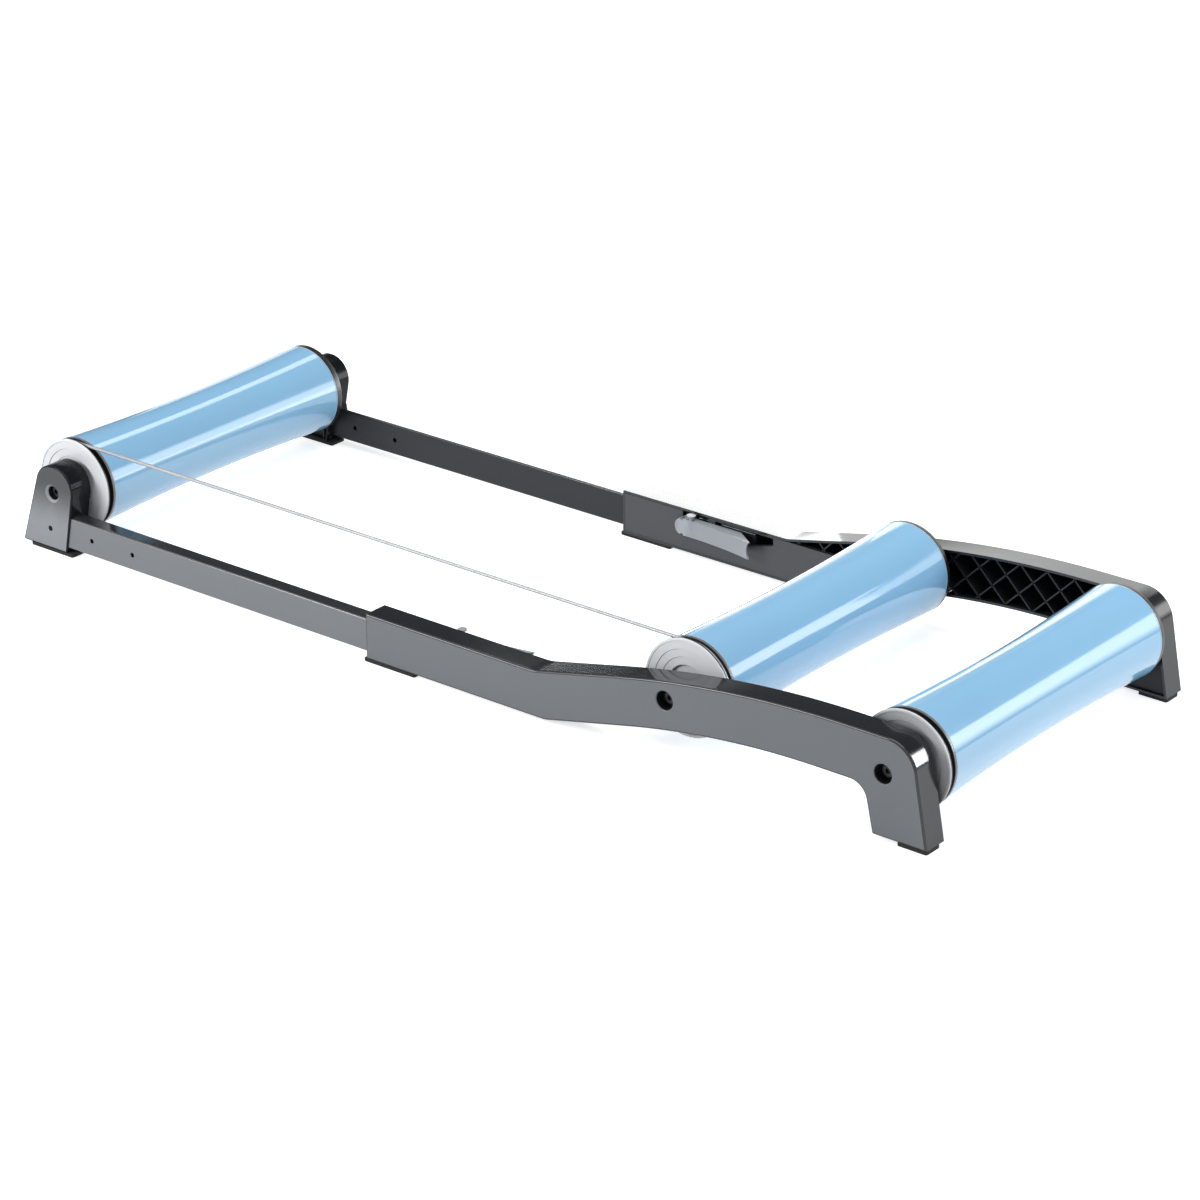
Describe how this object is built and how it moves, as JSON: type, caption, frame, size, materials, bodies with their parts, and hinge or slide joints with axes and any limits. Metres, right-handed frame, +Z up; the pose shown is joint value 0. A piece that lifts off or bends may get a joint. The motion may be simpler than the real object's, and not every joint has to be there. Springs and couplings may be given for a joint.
{
  "type": "bike rollers",
  "caption": "Bicycle training rollers: waisted drums on a low telescoping plastic frame with arched, diamond-ribbed rear beams, box tubes, a round belt and clamp levers.",
  "frame": {"origin": "on the floor, midway along the overall length with the frame drawn out, and midway between the two beams", "axes": "+X to the front wheel, +Y to the rider's left, +Z up"},
  "size_m": [1.3, 0.492, 0.131],
  "materials": {
    "frame_plastic": "dark grey, satin, fine moulded grain",
    "plate_plastic": "mid grey, satin",
    "foot_rubber": "black, matt",
    "axle_steel": "turned",
    "bolt_steel": "zinc plated",
    "spacer_alloy": "turned",
    "bearing_steel": "ground and polished",
    "dark_plastic": "black, satin",
    "tube_paint": "dark grey powder coat",
    "blue_shell": "light blue, glossy",
    "pale_cap": "light grey, satin",
    "lever_grey": "light grey, satin",
    "clear_belt": "cloudy white urethane"
  },
  "bodies": {
    "rear_frame": {"left_beam": "frame_plastic", "right_beam": "frame_plastic", "left_channel_plate": "plate_plastic", "right_channel_plate": "plate_plastic", "left_sleeve_foot": "foot_rubber", "right_sleeve_foot": "foot_rubber", "left_rear_foot": "foot_rubber", "right_rear_foot": "foot_rubber", "middle_axle": "axle_steel", "rear_axle": "axle_steel", "middle_axle_bolts": "bolt_steel", "rear_axle_bolts": "bolt_steel", "middle_axle_spacers": "spacer_alloy", "rear_axle_spacers": "spacer_alloy", "left_lever_pin": "bolt_steel", "right_lever_pin": "bolt_steel", "left_pressure_pad": "dark_plastic", "right_pressure_pad": "dark_plastic", "drive_belt": "clear_belt"},
    "front_frame": {"left_tube": "tube_paint", "right_tube": "tube_paint", "left_bracket": "frame_plastic", "right_bracket": "frame_plastic", "left_front_foot": "foot_rubber", "right_front_foot": "foot_rubber", "front_axle": "axle_steel", "front_axle_bolts": "bolt_steel", "front_axle_spacers": "spacer_alloy", "bracket_screws": "bolt_steel", "tube_end_plugs": "dark_plastic"},
    "front_roller": {"front_shell": "blue_shell", "front_pulley_cap": "pale_cap", "front_end_cap": "dark_plastic", "front_bearings": "bearing_steel"},
    "middle_roller": {"middle_shell": "blue_shell", "middle_pulley_cap": "pale_cap", "middle_end_cap": "dark_plastic", "middle_bearings": "bearing_steel"},
    "rear_roller": {"rear_shell": "blue_shell", "rear_pulley_cap": "pale_cap", "rear_end_cap": "dark_plastic", "rear_bearings": "bearing_steel"},
    "left_lever": {"left_lever": "lever_grey"},
    "right_lever": {"right_lever": "lever_grey"}
  },
  "joints": [
    {"name": "frame_slide", "type": "slide", "parent": "rear_frame", "child": "front_frame", "axis": [-1, 0, 0], "range_m": [0, 0.455], "deforming": ["drive_belt"]},
    {"name": "front_spin", "type": "hinge", "parent": "front_frame", "child": "front_roller", "pos_m": [0.594, 0, 0.075], "axis": [0, 1, 0], "continuous": true},
    {"name": "middle_spin", "type": "hinge", "parent": "rear_frame", "child": "middle_roller", "pos_m": [-0.316, 0, 0.075], "axis": [0, 1, 0], "continuous": true},
    {"name": "rear_spin", "type": "hinge", "parent": "rear_frame", "child": "rear_roller", "pos_m": [-0.594, 0, 0.075], "axis": [0, 1, 0], "continuous": true},
    {"name": "left_lever_swing", "type": "hinge", "parent": "rear_frame", "child": "left_lever", "pos_m": [0.007, 0.211, 0.0395], "axis": [0, 0, 1], "range_deg": [0, 42]},
    {"name": "right_lever_swing", "type": "hinge", "parent": "rear_frame", "child": "right_lever", "pos_m": [0.007, -0.211, 0.0395], "axis": [0, 0, -1], "range_deg": [0, 42]}
  ],
  "couplings": [
    {"joint": "front_spin", "follows": "middle_spin", "ratio": 1}
  ]
}
